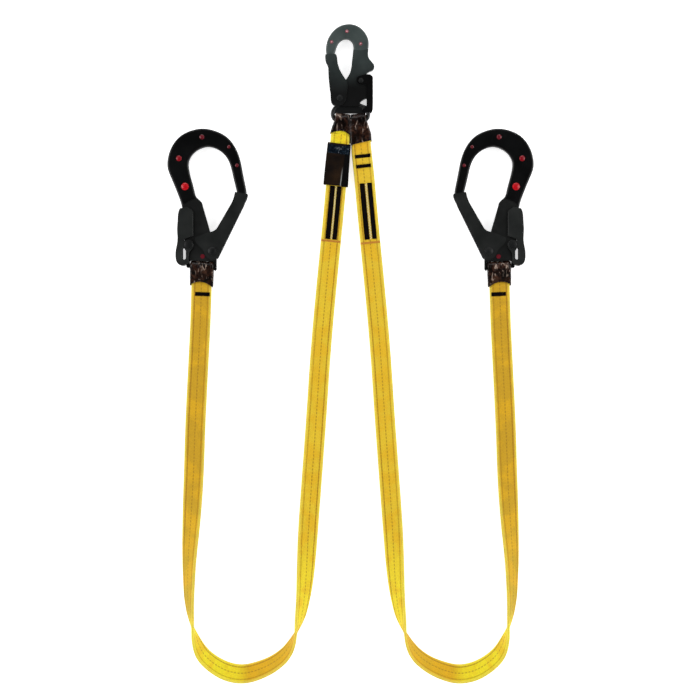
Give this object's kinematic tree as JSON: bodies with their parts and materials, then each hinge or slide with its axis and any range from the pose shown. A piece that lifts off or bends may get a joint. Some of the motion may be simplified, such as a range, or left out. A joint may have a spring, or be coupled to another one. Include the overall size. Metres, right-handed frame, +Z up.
{
  "type": "shock absorbing lanyard",
  "caption": "Twin-leg fall arrest lanyard: tubular yellow webbing legs from one snap hook to scaffold hooks with locking gates, laid flat.",
  "frame": {"origin": "on the surface that the lanyard lies on, under the middle of the hooks' and stitching's outline in plan", "axes": "+Z up from the surface; +Y from the webbing loops towards the snap hook's bowl; +X towards the right-hand leg, with the two legs mirrored about X = 0"},
  "size_m": [0.5484, 0.988, 0.0309],
  "materials": {
    "webbing_yellow": "woven polyester",
    "absorber_strip": "tear woven strip",
    "thread_black": "bar tack thread",
    "thread_orange": "zigzag thread",
    "label_cover": "coated cloth",
    "label_card": "printed film",
    "label_window": "clear film",
    "sleeve_film": "shrunk translucent film",
    "forging_black": "black powder coat",
    "plate_charcoal": "satin charcoal",
    "gate_charcoal": "satin charcoal",
    "lever_charcoal": "satin charcoal",
    "rivet_black": "satin",
    "spring_steel": "drawn wire",
    "stud_red": "glossy"
  },
  "bodies": {
    "webbing": {"left_leg_webbing": "webbing_yellow", "right_leg_webbing": "webbing_yellow", "left_absorber_core": "absorber_strip", "right_absorber_core": "absorber_strip", "left_leg_stitching": "thread_black", "right_leg_stitching": "thread_black", "left_end_tack": "thread_orange", "right_end_tack": "thread_orange", "left_hook_tack": "thread_black", "right_hook_tack": "thread_black", "label_cover": "label_cover", "label_card": "label_card", "label_window": "label_window", "snap_sleeve_left": "sleeve_film", "snap_sleeve_right": "sleeve_film", "left_hook_sleeve": "sleeve_film", "right_hook_sleeve": "sleeve_film"},
    "snap_hook": {"snap_hook_body": "forging_black", "snap_hook_frame_plates": "plate_charcoal", "snap_hook_gate_rivet": "rivet_black", "snap_hook_gate_spring": "spring_steel", "snap_hook_lever_rivet": "rivet_black", "snap_hook_lever_spring": "spring_steel", "snap_hook_studs": "stud_red"},
    "snap_gate": {"snap_hook_gate": "gate_charcoal"},
    "snap_lever": {"snap_hook_lock_lever": "lever_charcoal"},
    "left_hook": {"left_hook_body": "forging_black", "left_hook_frame_plates": "plate_charcoal", "left_hook_gate_rivet": "rivet_black", "left_hook_gate_spring": "spring_steel", "left_hook_lever_rivet": "rivet_black", "left_hook_lever_spring": "spring_steel", "left_hook_studs": "stud_red"},
    "left_gate": {"left_hook_gate": "gate_charcoal"},
    "left_lever": {"left_hook_lock_lever": "lever_charcoal"},
    "right_hook": {"right_hook_body": "forging_black", "right_hook_frame_plates": "plate_charcoal", "right_hook_gate_rivet": "rivet_black", "right_hook_gate_spring": "spring_steel", "right_hook_lever_rivet": "rivet_black", "right_hook_lever_spring": "spring_steel", "right_hook_studs": "stud_red"},
    "right_gate": {"right_hook_gate": "gate_charcoal"},
    "right_lever": {"right_hook_lock_lever": "lever_charcoal"}
  },
  "joints": [
    {"name": "snap_hook_hinge", "type": "hinge", "parent": "webbing", "child": "snap_hook", "pos_m": [-0.00015, 0.061, 0.0087], "axis": [1, 0, 0], "range_deg": [0, 85]},
    {"name": "snap_gate_hinge", "type": "hinge", "parent": "snap_hook", "child": "snap_gate", "pos_m": [-0.01613, 0.0925, 0.0087], "axis": [0, 0, -1], "range_deg": [0, 17], "stiffness_Nm_per_rad": 0.06, "springref_deg": -20.05},
    {"name": "snap_lever_hinge", "type": "hinge", "parent": "snap_hook", "child": "snap_lever", "pos_m": [0.01568, 0.11875, 0.0087], "axis": [0, 0, -1], "range_deg": [0, 6], "stiffness_Nm_per_rad": 0.06, "springref_deg": -20.05},
    {"name": "left_hook_hinge", "type": "hinge", "parent": "webbing", "child": "left_hook", "pos_m": [-0.22058, -0.1598, 0.0112], "axis": [0.9995, -0.0332, 0], "range_deg": [0, 90]},
    {"name": "left_gate_hinge", "type": "hinge", "parent": "left_hook", "child": "left_gate", "pos_m": [-0.20678, -0.137, 0.0112], "axis": [0, 0, 1], "range_deg": [0, 27], "stiffness_Nm_per_rad": 0.12, "springref_deg": -20.05},
    {"name": "left_lever_hinge", "type": "hinge", "parent": "left_hook", "child": "left_lever", "pos_m": [-0.24278, -0.12725, 0.0112], "axis": [0, 0, -1], "range_deg": [0, 7], "stiffness_Nm_per_rad": 0.12, "springref_deg": -20.05},
    {"name": "right_hook_hinge", "type": "hinge", "parent": "webbing", "child": "right_hook", "pos_m": [0.22058, -0.1598, 0.0112], "axis": [0.9995, 0.0332, 0], "range_deg": [0, 90]},
    {"name": "right_gate_hinge", "type": "hinge", "parent": "right_hook", "child": "right_gate", "pos_m": [0.20678, -0.137, 0.0112], "axis": [0, 0, -1], "range_deg": [0, 27], "stiffness_Nm_per_rad": 0.12, "springref_deg": -20.05},
    {"name": "right_lever_hinge", "type": "hinge", "parent": "right_hook", "child": "right_lever", "pos_m": [0.24278, -0.12725, 0.0112], "axis": [0, 0, 1], "range_deg": [0, 7], "stiffness_Nm_per_rad": 0.12, "springref_deg": -20.05}
  ]
}
